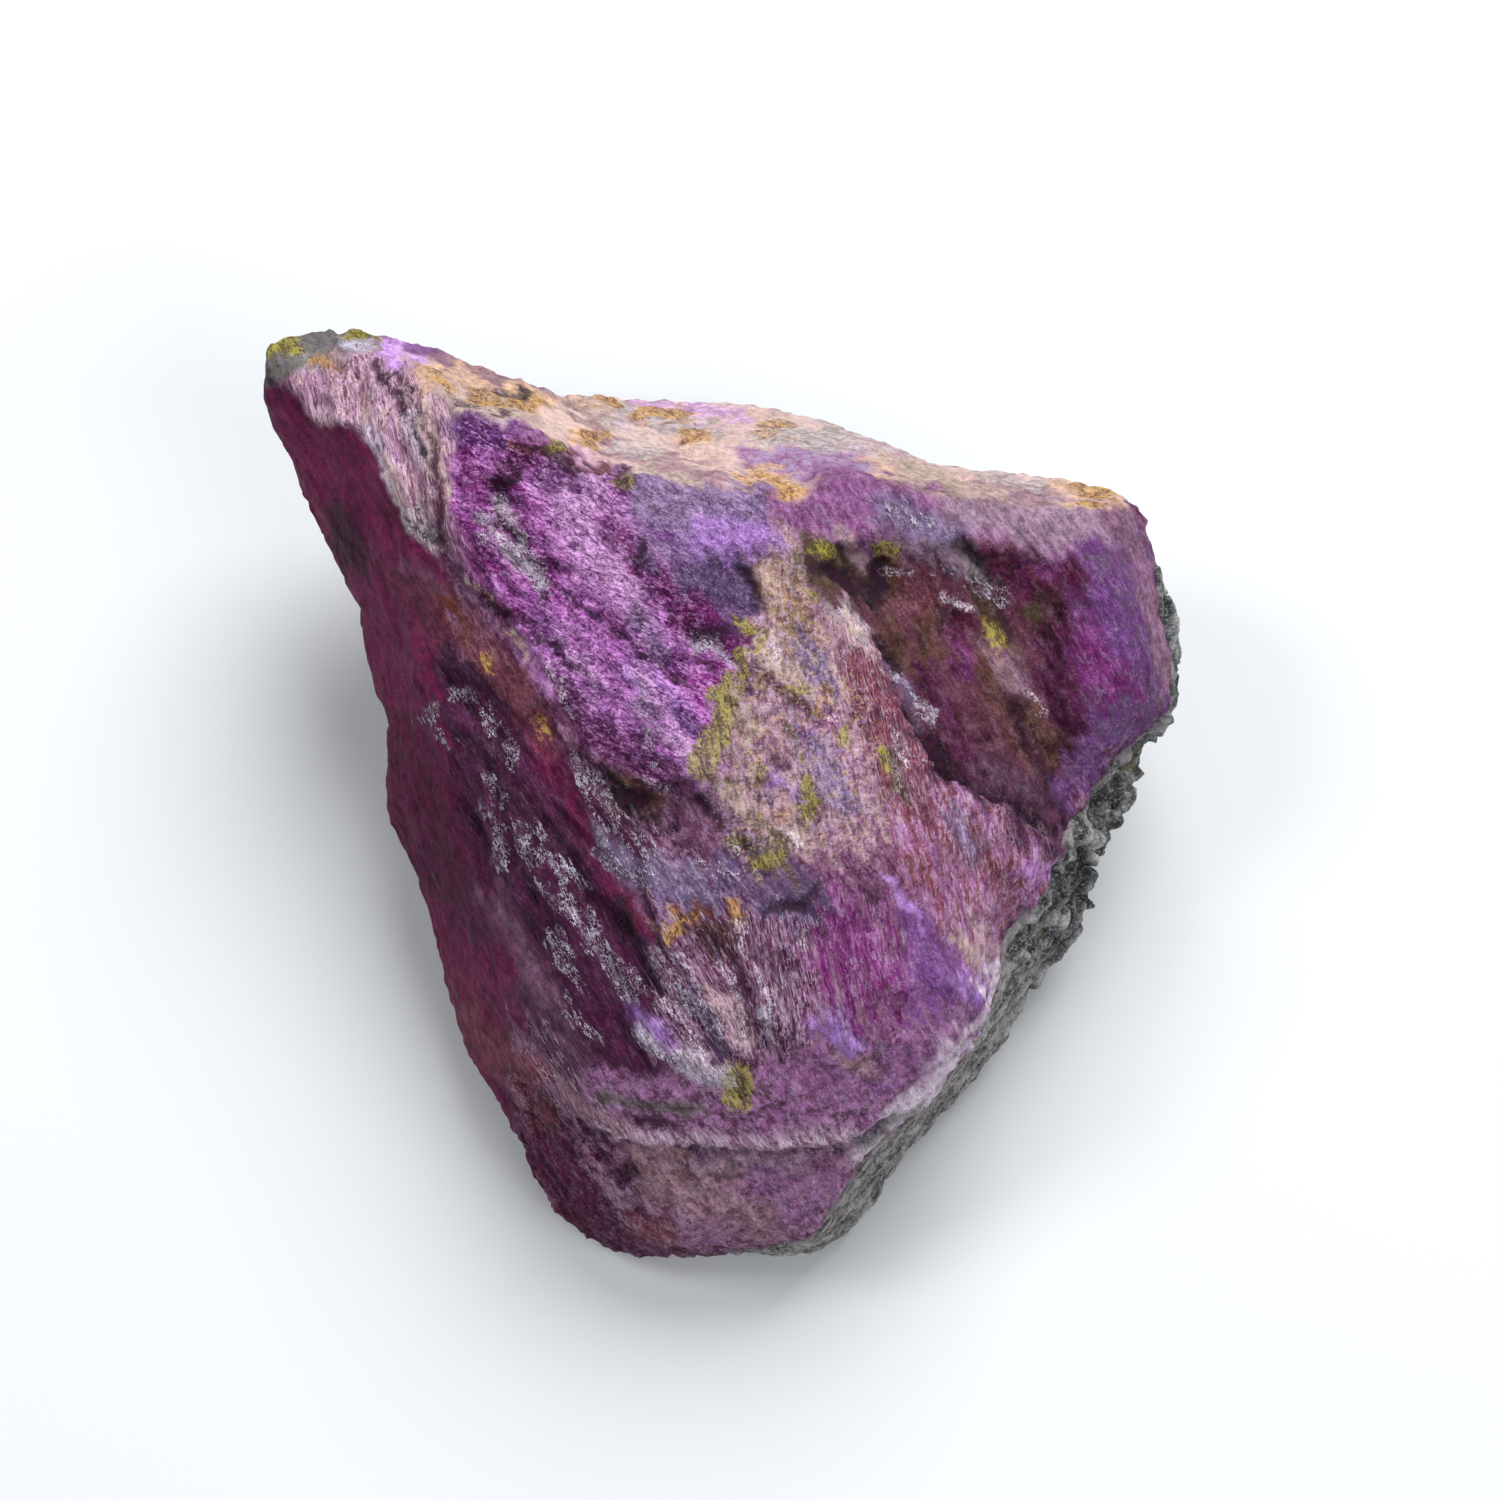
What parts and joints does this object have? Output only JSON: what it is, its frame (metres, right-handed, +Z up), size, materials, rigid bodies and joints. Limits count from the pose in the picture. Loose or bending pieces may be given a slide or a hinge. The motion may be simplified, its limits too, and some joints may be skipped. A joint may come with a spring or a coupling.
{
  "type": "rough gem specimen",
  "caption": "Rough lump of purple stichtite on a dark serpentine crust, broken faces and rounded ridges, resting on a flat spot",
  "frame": {"origin": "on the flat rest face, under the middle of the lump", "axes": "X to the right and Y away, as seen by a viewer who looks down on the purple side with the thin tip at the far left; Z up from the rest face through the purple side"},
  "size_m": [0.0587, 0.0586, 0.0289],
  "materials": {
    "stichtite": "waxy to pearly broken stone, deep purple to magenta, streaked pink, cream and olive along the fibres, with glassy splinters",
    "serpentine": "rough dark grey-green to black broken stone with a few rust and olive stains"
  },
  "bodies": {
    "root": {"stichtite": "stichtite", "serpentine": "serpentine"}
  },
  "joints": []
}
